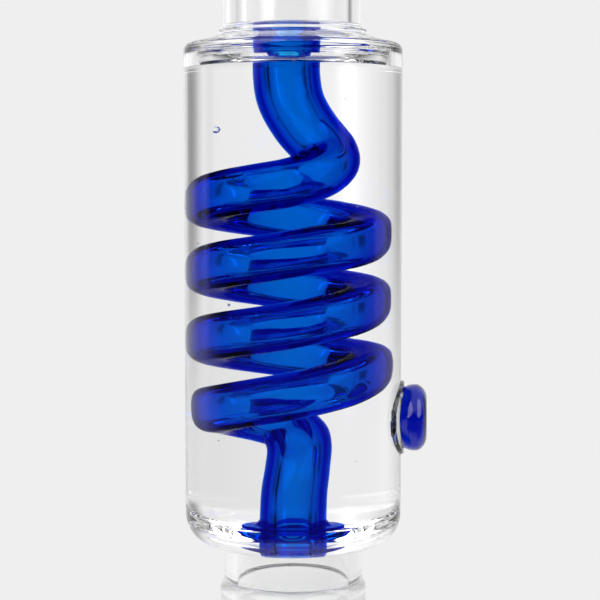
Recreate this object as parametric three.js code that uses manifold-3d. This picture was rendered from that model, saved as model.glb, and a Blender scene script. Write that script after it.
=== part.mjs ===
// A liquid-filled coil chamber in lampworked borosilicate glass.
//
// A clear jacket is closed by two end walls, with a neck above and a ground
// socket below. A cobalt tube is wound inside it in four right-handed turns:
// its upper lead opens into the neck, its lower lead into the socket. The
// jacket is filled with coolant through a hole in its side, which is sealed
// with a pin and a blue button.
//
// Millimetres, +Z up. The socket's mouth stands on z = 0, and the button
// points along +X.

import * as THREE from 'three';
import { mergeVertices } from 'three/addons/utils/BufferGeometryUtils.js';
import Module from 'manifold-3d';

const wasm = await Module();
wasm.setup();

// ---------------------------------------------------------------- dimensions

const FIT_GAP = 0.3; // between a piece and the one it is cut to fit
const FILM_GAP = 0.05; // between the coolant and the walls it wets
const COIL_FILM_GAP = 0.15; // between the coolant and the coil

// jacket
const JACKET_R = 25;
const JACKET_WALL = 3;
const JACKET_BORE_R = JACKET_R - JACKET_WALL;
const JACKET_BOTTOM_Z = 51.5;
const JACKET_TOP_Z = 157.5;

// lower end wall, a thick disc turned up into the jacket
const BASE_UNDER_Z = 44.5;
const BASE_FLOOR_Z = 48.9;
const BASE_CORNER_R = JACKET_BOTTOM_Z - BASE_UNDER_Z;
const BASE_INNER_CORNER_R = JACKET_BOTTOM_Z - BASE_FLOOR_Z;

// upper end wall, a shallow shoulder that rises to the neck
const SHOULDER_EDGE_R = 24.4;
const SHOULDER_EDGE_Z = 158.4;
const SHOULDER_TOP_R = 17;
const SHOULDER_TOP_Z = 161.2;
const CROWN_TOP_Z = 162;
const CROWN_UNDER_Z = 158.8;
const CROWN_UNDER_R = 14;

// necks
const NECK_R = 16;
const LOWER_BORE_R = 13;
const UPPER_BORE_R = 12.7;
const UPPER_NECK_TOP_Z = 198;
const NECK_FOOT_R = 17; // where the upper neck flares into its weld
const NECK_FOOT_H = 2.2;
const LIP_ROUND = 1.3;

// ground socket, a 29/32 standard taper: 29.2 at the mouth, 26 at 32 deep
const SOCKET_R = 17;
const SOCKET_TOP_Z = 36;
const SOCKET_SHOULDER_R = 2.4;
const TAPER_MOUTH_R = 14.6;
const TAPER_END_R = 13;
const TAPER_LENGTH = 32;
const RIM_R = 18;
const RIM_H = 4;

// coil tube
const TUBE_R = 5.25;
const TUBE_WALL = 1.2;
const WOUND_HALF_WIDTH = 4.4; // winding leaves the tube narrower across the turns
const WOUND_SQUARENESS = 2.8; // and blunt, where 2 is round
const WINDING_R = 11.7;
const WINDING_PITCH = 15.8;
const WINDING_X = -0.85; // the winding stands a little off the glass axis
const WINDING_START_Z = 131.7; // height of the winding's line at angle 0
const FIRST_ANGLE = -90;
const LAST_ANGLE = -1260;
const WINDING_STEP = 30;
const UPPER_LEAD_X = -1; // the upper lead enters the neck a little off its centre

// coolant and the two flanges sealed to the end walls
const COOLANT_LEVEL_Z = 153.8;
const FLANGE_R = 8.1;
const FLANGE_EDGE = 0.6; // thickness at the edge
const FLANGE_ROOT = 2; // and where it runs up the tube

// filling port
const PORT_Z = 74.6;
const PORT_ANGLE = -4; // degrees about +Z
const HOLE_R = 1.8;
const PIN_R = 1.5;
const PIN_TIP = JACKET_BORE_R + 0.2; // distances from the glass axis
const BOSS_TOP = 25.9;
const BOSS_R = 9;
const BOSS_TOP_R = 7.9;
const BUTTON_BACK = BOSS_TOP + FIT_GAP;
const BUTTON_FRONT = 30.9;
const BUTTON_R = 7.65;
const BUTTON_ROUND = 2.1;

// The button makes the object wider on one side, and the origin is under the
// middle of the whole object.
const PORT_TURN = THREE.MathUtils.degToRad(PORT_ANGLE);
const BUTTON_REACH = (BUTTON_FRONT - BUTTON_ROUND) * Math.cos(PORT_TURN)
  + (BUTTON_R - BUTTON_ROUND) * Math.abs(Math.sin(PORT_TURN)) + BUTTON_ROUND;
const AXIS_X = (JACKET_R - BUTTON_REACH) / 2;

// facets
const ROUND_STEPS = 48;
const SMALL_ROUND_STEPS = 28;
const TUBE_SIDES = 16;
const TUBE_STEPS = 84;
const ARC_STEPS = 2;

// ------------------------------------------------------------------ materials

const CLEAR = { color: 0xf2f6f6, roughness: 0.04, metalness: 0 };
const GROUND = { color: 0xe4e8e8, roughness: 0.35, metalness: 0 };
const COBALT = { color: 0x0a2fc4, roughness: 0.04, metalness: 0 };
const LIQUID = { color: 0xf7fafa, roughness: 0, metalness: 0 };

// -------------------------------------------------------------------- helpers

function piece(name, geometry, look) {
  const mesh = new THREE.Mesh(geometry, new THREE.MeshStandardMaterial(look));
  mesh.name = name;
  return mesh;
}

// An outline is drawn with x as the radius and y as the height. It runs up
// the outside and down the inside, and closes on itself.
function turn(outline, steps = ROUND_STEPS) {
  outline.closePath();
  const geometry = new THREE.LatheGeometry(outline.getPoints(ARC_STEPS), steps);
  return geometry.rotateX(Math.PI / 2);
}

function outlineFrom(radius, height) {
  const outline = new THREE.Path();
  outline.moveTo(radius, height);
  return outline;
}

// Adds an arc whose start and end are given in quarter turns.
function arc(outline, centreR, centreZ, radius, from, to) {
  const clockwise = to < from;
  outline.absarc(centreR, centreZ, radius, from * Math.PI / 2, to * Math.PI / 2, clockwise);
}

function asSolid(geometry) {
  const bare = geometry.clone();
  bare.deleteAttribute('normal');
  bare.deleteAttribute('uv');
  const merged = mergeVertices(bare, 1e-4);
  const vertProperties = new Float32Array(merged.attributes.position.array);
  const triVerts = new Uint32Array(merged.index.array);
  return new wasm.Manifold(new wasm.Mesh({ numProp: 3, vertProperties, triVerts }));
}

function asGeometry(solid) {
  const mesh = solid.getMesh();
  const geometry = new THREE.BufferGeometry();
  geometry.setAttribute('position', new THREE.BufferAttribute(mesh.vertProperties, 3));
  geometry.setIndex(new THREE.BufferAttribute(mesh.triVerts, 1));
  geometry.computeVertexNormals();
  return geometry;
}

function cut(geometry, ...tools) {
  let solid = asSolid(geometry);
  for (const tool of tools) {
    solid = solid.subtract(asSolid(tool));
  }
  return asGeometry(solid);
}

// A rod along the port's own axis, from one distance off the glass axis to another.
function portRod(radius, from, to) {
  const rod = new THREE.CylinderGeometry(radius, radius, to - from, SMALL_ROUND_STEPS);
  rod.translate(0, (from + to) / 2, 0);
  return alongPort(rod);
}

// Turns what stands on +Y to the port's direction and height.
function alongPort(geometry) {
  geometry.rotateZ(-Math.PI / 2);
  geometry.rotateZ(PORT_TURN);
  return geometry.translate(0, 0, PORT_Z);
}

// ------------------------------------------------------------- jacket and walls

function jacketTube() {
  const outline = outlineFrom(JACKET_BORE_R, JACKET_BOTTOM_Z);
  outline.lineTo(JACKET_R, JACKET_BOTTOM_Z);
  outline.lineTo(JACKET_R, JACKET_TOP_Z);
  outline.lineTo(JACKET_BORE_R, JACKET_TOP_Z);
  return cut(turn(outline), portRod(HOLE_R, JACKET_BORE_R - 2, JACKET_R + 2));
}

function lowerEndWall() {
  const holeR = TUBE_R + FIT_GAP;
  const outline = outlineFrom(holeR, BASE_UNDER_Z);
  outline.lineTo(JACKET_R - BASE_CORNER_R, BASE_UNDER_Z);
  arc(outline, JACKET_R - BASE_CORNER_R, JACKET_BOTTOM_Z, BASE_CORNER_R, -1, -0.5);
  arc(outline, JACKET_R - BASE_CORNER_R, JACKET_BOTTOM_Z, BASE_CORNER_R, -0.5, 0);
  outline.lineTo(JACKET_BORE_R, JACKET_BOTTOM_Z);
  arc(outline, JACKET_BORE_R - BASE_INNER_CORNER_R, JACKET_BOTTOM_Z, BASE_INNER_CORNER_R, 0, -1);
  outline.lineTo(holeR, BASE_FLOOR_Z);
  return turn(outline);
}

function upperEndWall() {
  const outline = outlineFrom(JACKET_BORE_R, JACKET_TOP_Z);
  outline.lineTo(JACKET_R, JACKET_TOP_Z);
  outline.quadraticCurveTo(JACKET_R, SHOULDER_EDGE_Z, SHOULDER_EDGE_R, SHOULDER_EDGE_Z + 0.3);
  outline.lineTo(SHOULDER_TOP_R, SHOULDER_TOP_Z);
  outline.lineTo(SHOULDER_TOP_R, CROWN_TOP_Z);
  outline.lineTo(0, CROWN_TOP_Z);
  outline.lineTo(0, CROWN_UNDER_Z);
  outline.lineTo(CROWN_UNDER_R, CROWN_UNDER_Z);
  outline.quadraticCurveTo(JACKET_BORE_R - 1, CROWN_UNDER_Z - 0.3, JACKET_BORE_R, JACKET_TOP_Z);
  const holeR = TUBE_R + FIT_GAP;
  const hole = new THREE.CylinderGeometry(holeR, holeR, 10, SMALL_ROUND_STEPS);
  hole.rotateX(Math.PI / 2).translate(UPPER_LEAD_X, 0, CROWN_TOP_Z);
  return cut(turn(outline), hole);
}

// ------------------------------------------------------------ necks and socket

function upperNeck() {
  const outline = outlineFrom(UPPER_BORE_R, CROWN_TOP_Z);
  outline.lineTo(NECK_FOOT_R, CROWN_TOP_Z);
  outline.quadraticCurveTo(NECK_R, CROWN_TOP_Z + 0.4, NECK_R, CROWN_TOP_Z + NECK_FOOT_H);
  outline.lineTo(NECK_R, UPPER_NECK_TOP_Z - LIP_ROUND);
  arc(outline, NECK_R - LIP_ROUND, UPPER_NECK_TOP_Z - LIP_ROUND, LIP_ROUND, 0, 1);
  outline.lineTo(UPPER_BORE_R + LIP_ROUND / 2, UPPER_NECK_TOP_Z);
  outline.lineTo(UPPER_BORE_R, UPPER_NECK_TOP_Z - LIP_ROUND / 2);
  return turn(outline);
}

function lowerNeck() {
  const outline = outlineFrom(LOWER_BORE_R, SOCKET_TOP_Z);
  outline.lineTo(NECK_R, SOCKET_TOP_Z);
  outline.lineTo(NECK_R, BASE_UNDER_Z);
  outline.lineTo(LOWER_BORE_R, BASE_UNDER_Z);
  return turn(outline);
}

function groundSocket() {
  const shoulderZ = SOCKET_TOP_Z - SOCKET_SHOULDER_R;
  const outline = outlineFrom(TAPER_MOUTH_R, 0);
  outline.lineTo(RIM_R - 1, 0);
  outline.lineTo(RIM_R, 1);
  outline.lineTo(RIM_R, RIM_H - 1);
  outline.lineTo(SOCKET_R, RIM_H);
  outline.lineTo(SOCKET_R, shoulderZ);
  arc(outline, SOCKET_R - SOCKET_SHOULDER_R, shoulderZ, SOCKET_SHOULDER_R, 0, 1);
  outline.lineTo(TAPER_END_R, SOCKET_TOP_Z);
  outline.lineTo(TAPER_END_R, TAPER_LENGTH);
  return turn(outline);
}

// ------------------------------------------------------------------- coil tube

// A point of the winding's centre line. It turns clockwise from above and
// falls by one pitch a turn, so the winding is right-handed.
function windingPoint(angle) {
  const turned = THREE.MathUtils.degToRad(angle);
  return new THREE.Vector3(
    WINDING_X + WINDING_R * Math.cos(turned),
    WINDING_R * Math.sin(turned),
    WINDING_START_Z + WINDING_PITCH * angle / 360,
  );
}

// The upper lead drops from the neck, swings out to +X and folds forward
// into the first turn.
function upperLead() {
  return [
    new THREE.Vector3(UPPER_LEAD_X, 0, CROWN_TOP_Z),
    new THREE.Vector3(UPPER_LEAD_X, 0, 156.5),
    new THREE.Vector3(UPPER_LEAD_X, 0, 151.5),
    new THREE.Vector3(-0.3, -0.2, 146),
    new THREE.Vector3(1.9, -0.9, 140),
    new THREE.Vector3(4.5, -2.8, 135),
    new THREE.Vector3(5.2, -6.2, 131.8),
    new THREE.Vector3(3.1, -9.4, 129.3),
  ];
}

// The lower lead leaves the last turn at the back, folds forward to the
// glass axis and drops into the socket.
function lowerLead() {
  return [
    new THREE.Vector3(-9.4, 5.6, 75.2),
    new THREE.Vector3(-6.2, 8, 74),
    new THREE.Vector3(-2.4, 8.2, 72.7),
    new THREE.Vector3(0.6, 6.2, 70.9),
    new THREE.Vector3(1.6, 2.9, 67.6),
    new THREE.Vector3(1.1, 0.7, 62.9),
    new THREE.Vector3(0.3, 0, 57.4),
    new THREE.Vector3(0, 0, 51),
    new THREE.Vector3(0, 0, BASE_UNDER_Z),
  ];
}

function coilLine() {
  const points = upperLead();
  for (let angle = FIRST_ANGLE; angle >= LAST_ANGLE; angle -= WINDING_STEP) {
    points.push(windingPoint(angle));
  }
  points.push(...lowerLead());
  return new THREE.CatmullRomCurve3(points, false, 'centripetal');
}

// Places along the coil, each with its middle, a direction out from the
// winding, one along the winding, and how far the tube is flattened there.
function coilPlaces() {
  const line = coilLine();
  const places = [];
  for (let step = 0; step <= TUBE_STEPS; step += 1) {
    const middle = line.getPointAt(step / TUBE_STEPS);
    const ahead = line.getTangentAt(step / TUBE_STEPS);
    const out = new THREE.Vector3(middle.x - WINDING_X, middle.y, 0);
    const flattened = THREE.MathUtils.smoothstep(out.length(), 9.2, 11.6);
    places.push({ middle, ahead, out, flattened });
  }
  const first = places.findIndex((place) => place.flattened > 0);
  const last = places.findLastIndex((place) => place.flattened > 0);
  for (let i = first - 1; i >= 0; i -= 1) {
    places[i].out.copy(squareTo(places[i].ahead, places[i + 1].out));
  }
  for (let i = last + 1; i < places.length; i += 1) {
    places[i].out.copy(squareTo(places[i].ahead, places[i - 1].out));
  }
  for (const place of places) {
    place.out = squareTo(place.ahead, place.out);
    place.along = new THREE.Vector3().crossVectors(place.ahead, place.out);
  }
  return places;
}

// The part of a direction that is square to another, at unit length.
function squareTo(axis, direction) {
  return direction.clone().addScaledVector(axis, -direction.dot(axis)).normalize();
}

// The tube's section at a place, grown by a margin.
function sectionAt(place, margin) {
  const halfWidth = THREE.MathUtils.lerp(TUBE_R, WOUND_HALF_WIDTH, place.flattened) + margin;
  const halfHeight = TUBE_R + margin;
  const power = 2 / THREE.MathUtils.lerp(2, WOUND_SQUARENESS, place.flattened);
  const points = [];
  for (let side = 0; side < TUBE_SIDES; side += 1) {
    const angle = 2 * Math.PI * side / TUBE_SIDES;
    const across = Math.sign(Math.cos(angle)) * Math.abs(Math.cos(angle)) ** power;
    const up = Math.sign(Math.sin(angle)) * Math.abs(Math.sin(angle)) ** power;
    points.push(place.middle.clone()
      .addScaledVector(place.out, halfWidth * across)
      .addScaledVector(place.along, halfHeight * up));
  }
  return points;
}

// A skin round the coil, with its margin on the tube's own section.
function coilSkin(margin) {
  const rings = coilPlaces().map((place) => sectionAt(place, margin));
  const faces = [];
  for (let i = 1; i < rings.length; i += 1) {
    for (let side = 0; side < TUBE_SIDES; side += 1) {
      const next = (side + 1) % TUBE_SIDES;
      const [a, b, c, d] = [rings[i - 1][side], rings[i - 1][next], rings[i][next], rings[i][side]];
      faces.push(a, b, c, a, c, d);
    }
  }
  return { faces, start: rings[0], end: rings[rings.length - 1] };
}

function facesToGeometry(faces) {
  return new THREE.BufferGeometry().setFromPoints(faces);
}

// The hollow tube: an outer skin, the bore, and a ring at each end.
function coilTube() {
  const outer = coilSkin(0);
  const bore = coilSkin(-TUBE_WALL);
  const faces = [...outer.faces, ...bore.faces.toReversed()];
  for (let side = 0; side < TUBE_SIDES; side += 1) {
    const next = (side + 1) % TUBE_SIDES;
    const [a, b, c, d] = [outer.start[side], bore.start[side], bore.start[next], outer.start[next]];
    faces.push(a, b, c, a, c, d);
    const [e, f, g, h] = [outer.end[side], outer.end[next], bore.end[next], bore.end[side]];
    faces.push(e, f, g, e, g, h);
  }
  const geometry = mergeVertices(facesToGeometry(faces), 1e-4);
  geometry.computeVertexNormals();
  return geometry;
}

// The whole room the tube takes up, bore and all.
function coilFilled(margin) {
  const { faces, start, end } = coilSkin(margin);
  for (let side = 1; side < TUBE_SIDES - 1; side += 1) {
    faces.push(start[0], start[side + 1], start[side]);
    faces.push(end[0], end[side], end[side + 1]);
  }
  return facesToGeometry(faces);
}

// A flange seals the tube to the lower end wall, thinning towards its edge.
function flange() {
  const innerR = TUBE_R + FIT_GAP;
  const outline = outlineFrom(innerR, 0);
  outline.lineTo(FLANGE_R, 0);
  outline.lineTo(FLANGE_R, FLANGE_EDGE);
  outline.quadraticCurveTo(innerR + 0.6, FLANGE_EDGE, innerR, FLANGE_ROOT);
  return turn(outline, SMALL_ROUND_STEPS);
}

function lowerFlange() {
  return flange().translate(0, 0, BASE_FLOOR_Z);
}

function upperFlange() {
  return flange().rotateX(Math.PI).translate(UPPER_LEAD_X, 0, CROWN_UNDER_Z);
}

// -------------------------------------------------------------------- coolant

function coolant() {
  const wallR = JACKET_BORE_R - FILM_GAP;
  const floorZ = BASE_FLOOR_Z + FLANGE_ROOT + FIT_GAP;
  const outline = outlineFrom(0, floorZ);
  outline.lineTo(FLANGE_R + FIT_GAP, floorZ);
  outline.lineTo(FLANGE_R + FIT_GAP, BASE_FLOOR_Z + FILM_GAP);
  arc(outline, wallR - BASE_INNER_CORNER_R, JACKET_BOTTOM_Z + FILM_GAP, BASE_INNER_CORNER_R, -1, 0);
  outline.lineTo(wallR, COOLANT_LEVEL_Z);
  outline.lineTo(0, COOLANT_LEVEL_Z);
  const fill = new THREE.LatheGeometry(outline.getPoints(ARC_STEPS), ROUND_STEPS).rotateX(Math.PI / 2);
  return cut(fill, coilFilled(COIL_FILM_GAP));
}

// --------------------------------------------------------------- filling port

function portBoss() {
  const foot = JACKET_R - 3;
  const outline = outlineFrom(HOLE_R, foot);
  outline.lineTo(BOSS_R, foot);
  outline.lineTo(BOSS_R, BOSS_TOP - 0.5);
  outline.quadraticCurveTo(BOSS_R, BOSS_TOP, BOSS_TOP_R, BOSS_TOP);
  outline.lineTo(HOLE_R, BOSS_TOP);
  outline.closePath();
  const disc = new THREE.LatheGeometry(outline.getPoints(ARC_STEPS), SMALL_ROUND_STEPS);
  const jacketR = JACKET_R + FIT_GAP;
  const jacket = new THREE.CylinderGeometry(jacketR, jacketR, 60, 2 * ROUND_STEPS);
  jacket.rotateX(Math.PI / 2).translate(0, 0, PORT_Z);
  return cut(alongPort(disc), jacket);
}

function portPin() {
  const outline = outlineFrom(0, PIN_TIP);
  outline.lineTo(PIN_R * 0.7, PIN_TIP + 0.3);
  outline.lineTo(PIN_R, PIN_TIP + 1);
  outline.lineTo(PIN_R, BOSS_TOP);
  outline.lineTo(0, BOSS_TOP);
  return alongPort(new THREE.LatheGeometry(outline.getPoints(ARC_STEPS), 20));
}

function button() {
  const outline = outlineFrom(0, BUTTON_BACK);
  outline.lineTo(BUTTON_R - BUTTON_ROUND, BUTTON_BACK);
  arc(outline, BUTTON_R - BUTTON_ROUND, BUTTON_BACK + BUTTON_ROUND, BUTTON_ROUND, -1, 0);
  arc(outline, BUTTON_R - BUTTON_ROUND, BUTTON_FRONT - BUTTON_ROUND, BUTTON_ROUND, 0, 1);
  outline.lineTo(0, BUTTON_FRONT);
  return alongPort(new THREE.LatheGeometry(outline.getPoints(ARC_STEPS), SMALL_ROUND_STEPS));
}

// --------------------------------------------------------------------- chamber

const chamber = new THREE.Group();
chamber.position.set(AXIS_X, 0, 0);
chamber.add(
  piece('jacket_tube', jacketTube(), CLEAR),
  piece('lower_end_wall', lowerEndWall(), CLEAR),
  piece('upper_end_wall', upperEndWall(), CLEAR),
  piece('upper_neck', upperNeck(), CLEAR),
  piece('lower_neck', lowerNeck(), CLEAR),
  piece('ground_socket', groundSocket(), GROUND),
  piece('coil_tube', coilTube(), COBALT),
  piece('lower_flange', lowerFlange(), COBALT),
  piece('upper_flange', upperFlange(), COBALT),
  piece('coolant', coolant(), LIQUID),
  piece('port_boss', portBoss(), CLEAR),
  piece('port_pin', portPin(), COBALT),
  piece('port_button', button(), COBALT),
);

export default chamber;
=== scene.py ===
"""A liquid-filled chamber of clear lampworked glass with a cobalt coil wound inside it."""

import logging
import math
from collections.abc import Callable, Iterator
from dataclasses import dataclass, field
from enum import Enum

import bmesh
import bpy
from mathutils import Matrix, Vector


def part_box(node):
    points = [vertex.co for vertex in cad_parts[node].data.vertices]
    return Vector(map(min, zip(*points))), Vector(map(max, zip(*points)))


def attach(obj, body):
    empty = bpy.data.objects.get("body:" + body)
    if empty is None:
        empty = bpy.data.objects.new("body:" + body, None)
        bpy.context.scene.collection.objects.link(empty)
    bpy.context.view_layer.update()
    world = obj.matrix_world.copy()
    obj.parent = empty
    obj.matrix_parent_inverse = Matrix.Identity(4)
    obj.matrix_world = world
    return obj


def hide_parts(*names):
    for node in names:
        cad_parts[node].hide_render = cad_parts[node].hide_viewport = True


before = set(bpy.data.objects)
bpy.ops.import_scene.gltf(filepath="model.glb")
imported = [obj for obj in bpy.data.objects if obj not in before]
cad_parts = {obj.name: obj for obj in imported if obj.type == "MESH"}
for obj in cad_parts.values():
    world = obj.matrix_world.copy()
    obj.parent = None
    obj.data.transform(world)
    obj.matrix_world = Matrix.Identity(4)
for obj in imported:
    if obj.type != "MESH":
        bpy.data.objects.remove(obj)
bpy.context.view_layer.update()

log = logging.getLogger("chamber")

MM = 0.001
BODY = "root"

# The glasses, the liquid and air bend light by these amounts. Where two of
# them meet, the surface between them bends it only by their ratio.
N_CLEAR = 1.474  # borosilicate glass
N_COBALT = 1.5  # coloured borosilicate
N_COOLANT = 1.469  # glycerine and water

BRIGHTEST = 1.6  # the brightest patch of wall, since a colour ramp stops at 1


# ----------------------------------------------------------------- small tools


def to_linear(hex_colour: str) -> tuple[float, float, float, float]:
    """Turns an sRGB colour into the linear one that shaders use.

    Args:
        hex_colour: The colour as six hex digits after a hash.

    Returns:
        Linear red, green, blue and an alpha of 1.
    """
    parts = [int(hex_colour[i:i + 2], 16) / 255 for i in (1, 3, 5)]
    linear = [p / 12.92 if p <= 0.04045 else ((p + 0.055) / 1.055) ** 2.4 for p in parts]
    return linear[0], linear[1], linear[2], 1.0


def centre_of(node: str) -> Vector:
    """Returns the middle of a CAD node's box."""
    low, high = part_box(node)
    return (Vector(low) + Vector(high)) / 2


def floor_of(node: str) -> float:
    """Returns the lowest height of a CAD node."""
    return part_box(node)[0][2]


def top_of(node: str) -> float:
    """Returns the greatest height of a CAD node."""
    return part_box(node)[1][2]


AXIS_X = centre_of("jacket_tube").x  # the glass axis is upright through here


def deselect() -> None:
    """Leaves object mode with nothing selected."""
    if bpy.context.object is not None and bpy.context.object.mode != "OBJECT":
        bpy.ops.object.mode_set(mode="OBJECT")
    bpy.ops.object.select_all(action="DESELECT")


def pick(piece: bpy.types.Object) -> None:
    """Makes one object the only selected and active one.

    Args:
        piece: The object to work on.
    """
    deselect()
    piece.select_set(True)
    bpy.context.view_layer.objects.active = piece


# -------------------------------------------------------------- turned pieces


@dataclass(frozen=True)
class Corner:
    """A point of an outline, in metres from the glass axis and from the ground.

    Args:
        r: Distance from the axis.
        z: Height.
        ease: How far along each side the corner's rounding starts.
    """

    r: float
    z: float
    ease: float = 0.0


def held(corners: list[Corner], hold: float = 0.12 * MM) -> Iterator[Corner]:
    """Adds points just outside each rounding, so flat faces beside it shade flat.

    Args:
        corners: The outline's corners in order.
        hold: How far outside the rounding the points lie.

    Yields:
        The corners with the points added.
    """
    for index, corner in enumerate(corners):
        before = corners[index - 1]
        after = corners[(index + 1) % len(corners)]
        if corner.ease > 0:
            yield from beside(corner, before, hold)
        yield corner
        if corner.ease > 0:
            yield from beside(corner, after, hold)


def beside(corner: Corner, other: Corner, hold: float) -> Iterator[Corner]:
    """Gives a point on the side from a rounded corner to the next one.

    Args:
        corner: The rounded corner.
        other: The corner at the side's other end.
        hold: How far outside the rounding the point lies.

    Yields:
        The point, unless the side is too short for it.
    """
    side = math.hypot(other.r - corner.r, other.z - corner.z)
    reach = corner.ease + hold
    if side > reach + other.ease + 2 * hold:
        share = reach / side
        r = corner.r + (other.r - corner.r) * share
        z = corner.z + (other.z - corner.z) * share
        yield Corner(r, z)


def outline_piece(name: str, corners: list[Corner]) -> bpy.types.Object:
    """Draws an outline by extruding a point, fills it and rounds its corners.

    Args:
        name: The piece's name.
        corners: The outline in order round it. It closes on itself.

    Returns:
        The outline as one flat face in the X-Z plane, in edit mode.
    """
    corners = list(held(corners))
    deselect()
    bpy.ops.mesh.primitive_plane_add(size=MM)
    piece = bpy.context.object
    piece.name = name
    piece.data.name = name
    bpy.ops.object.mode_set(mode="EDIT")
    bpy.ops.mesh.select_all(action="SELECT")
    bpy.ops.mesh.merge(type="CENTER")
    bpy.ops.transform.translate(value=(corners[0].r, 0, corners[0].z))
    for here, there in zip(corners, corners[1:]):
        step = (there.r - here.r, 0, there.z - here.z)
        bpy.ops.mesh.extrude_region_move(TRANSFORM_OT_translate={"value": step})
    bpy.ops.mesh.select_all(action="SELECT")
    bpy.ops.mesh.edge_face_add()
    for corner in corners:
        if corner.ease > 0:
            round_corner(piece, corner)
    return piece


def round_corner(piece: bpy.types.Object, corner: Corner, segments: int = 10) -> None:
    """Rounds one corner of a flat outline.

    Args:
        piece: The outline's object, in edit mode.
        corner: The corner, which still stands where it was drawn.
        segments: How many straight steps the rounding has.
    """
    bpy.ops.mesh.select_all(action="DESELECT")
    mesh = bmesh.from_edit_mesh(piece.data)
    place = Vector((corner.r, 0, corner.z))
    nearest = min(mesh.verts, key=lambda v: (v.co - place).length)
    nearest.select = True
    mesh.select_flush(True)
    bmesh.update_edit_mesh(piece.data)
    bpy.ops.mesh.bevel(
        offset=corner.ease, offset_type="OFFSET", segments=segments, affect="VERTICES", clamp_overlap=False
    )


def turned(
    name: str, corners: list[Corner], steps: int = 192, axis: Vector | None = None
) -> bpy.types.Object:
    """Turns an outline once round an upright axis into a closed solid.

    Args:
        name: The piece's name.
        corners: The outline, in metres from the axis.
        steps: How many steps a full turn has.
        axis: A point on the axis, or None for the glass axis.

    Returns:
        The solid, in object mode, with its faces pointing out.
    """
    centre = axis if axis is not None else Vector((AXIS_X, 0, 0))
    piece = outline_piece(name, corners)
    bpy.ops.mesh.select_all(action="SELECT")
    bpy.ops.mesh.delete(type="ONLY_FACE")
    bpy.ops.mesh.select_all(action="SELECT")
    bpy.ops.mesh.spin(steps=steps, angle=2 * math.pi, center=(0, 0, 0), axis=(0, 0, 1))
    bpy.ops.mesh.select_all(action="SELECT")
    bpy.ops.mesh.remove_doubles(threshold=0.002 * MM)
    bpy.ops.mesh.select_all(action="SELECT")
    bpy.ops.mesh.normals_make_consistent(inside=False)
    bpy.ops.transform.translate(value=centre)
    bpy.ops.object.mode_set(mode="OBJECT")
    return piece


def bar(
    name: str, r: float, low: float, high: float, steps: int = 96, axis: Vector | None = None
) -> bpy.types.Object:
    """Makes a plain round bar to cut with.

    Args:
        name: The bar's name.
        r: Its radius.
        low: The height of its lower end.
        high: The height of its upper end.
        steps: How many steps a full turn has.
        axis: A point on its axis, or None for the glass axis.

    Returns:
        The bar.
    """
    return turned(name, [Corner(0, low), Corner(r, low), Corner(r, high), Corner(0, high)], steps, axis)


def lay_over(piece: bpy.types.Object, degrees: float, place: Vector) -> None:
    """Turns a piece that stands on the origin to lie along +X, swings it and moves it.

    Args:
        piece: The mesh object, whose own axis is +Z.
        degrees: The swing about +Z after that.
        place: Where the origin goes.
    """
    swing = Matrix.Rotation(math.radians(degrees), 4, "Z")
    lean = Matrix.Rotation(math.radians(90), 4, "Y")
    piece.data.transform(Matrix.Translation(place) @ swing @ lean)


def mark_heights(piece: bpy.types.Object, heights: tuple[float, ...]) -> None:
    """Puts a ring of edges round a piece at each height.

    Args:
        piece: The mesh object.
        heights: The heights.
    """
    pick(piece)
    bpy.ops.object.mode_set(mode="EDIT")
    for height in heights:
        bpy.ops.mesh.select_all(action="SELECT")
        bpy.ops.mesh.bisect(plane_co=(0, 0, height), plane_no=(0, 0, 1))
    bpy.ops.object.mode_set(mode="OBJECT")


def carve(
    piece: bpy.types.Object, tool: bpy.types.Object, operation: str = "DIFFERENCE", keep: bool = False
) -> None:
    """Cuts a piece with another one.

    Args:
        piece: The piece that is cut.
        tool: The piece that cuts it.
        operation: Blender's name for the kind of cut.
        keep: Whether the tool stays in the scene.
    """
    pick(piece)
    modifier = piece.modifiers.new("cut", "BOOLEAN")
    modifier.operation = operation
    modifier.solver = "EXACT"
    modifier.object = tool
    bpy.ops.object.modifier_apply(modifier=modifier.name)
    if not keep:
        bpy.data.objects.remove(tool, do_unlink=True)


# ------------------------------------------------------------------- materials


class Tree:
    """A material's or a world's node tree, emptied and ready to be filled."""

    def __init__(self, owner: bpy.types.Material | bpy.types.World) -> None:
        """Empties the owner's tree.

        Args:
            owner: The material or world.
        """
        owner.use_nodes = True
        self.nodes = owner.node_tree.nodes
        self.links = owner.node_tree.links
        self.nodes.clear()

    def add(self, kind: str, settings: dict | None = None, **sockets: object) -> bpy.types.Node:
        """Adds a node with its settings, values and links.

        Args:
            kind: The node's Blender type.
            settings: Values of the node's own properties.
            sockets: A value or an output socket for each input, named in lower
                case with underscores, or in_0, in_1 and so on by place.

        Returns:
            The node.
        """
        node = self.nodes.new(kind)
        for key, value in (settings or {}).items():
            setattr(node, key, value)
        for key, value in sockets.items():
            target = self._input(node, key)
            if isinstance(value, bpy.types.NodeSocket):
                self.links.new(value, target)
            else:
                target.default_value = value
        return node

    @staticmethod
    def _input(node: bpy.types.Node, key: str) -> bpy.types.NodeSocket:
        """Finds an input by its place or by its name.

        Args:
            node: The node.
            key: in_0 and so on, or the input's name in lower case.

        Returns:
            The input socket.
        """
        if key.startswith("in_"):
            return node.inputs[int(key[3:])]
        wanted = key.replace("_", " ")
        return next(s for s in node.inputs if s.name.lower() == wanted)


def material_of(name: str, shade: Callable[[Tree], None]) -> bpy.types.Material:
    """Returns a material, which is made on first use.

    Args:
        name: Its name.
        shade: What fills its node tree.

    Returns:
        The material.
    """
    made = bpy.data.materials.get(name)
    if made is None:
        made = bpy.data.materials.new(name)
        shade(Tree(made))
    return made


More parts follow.
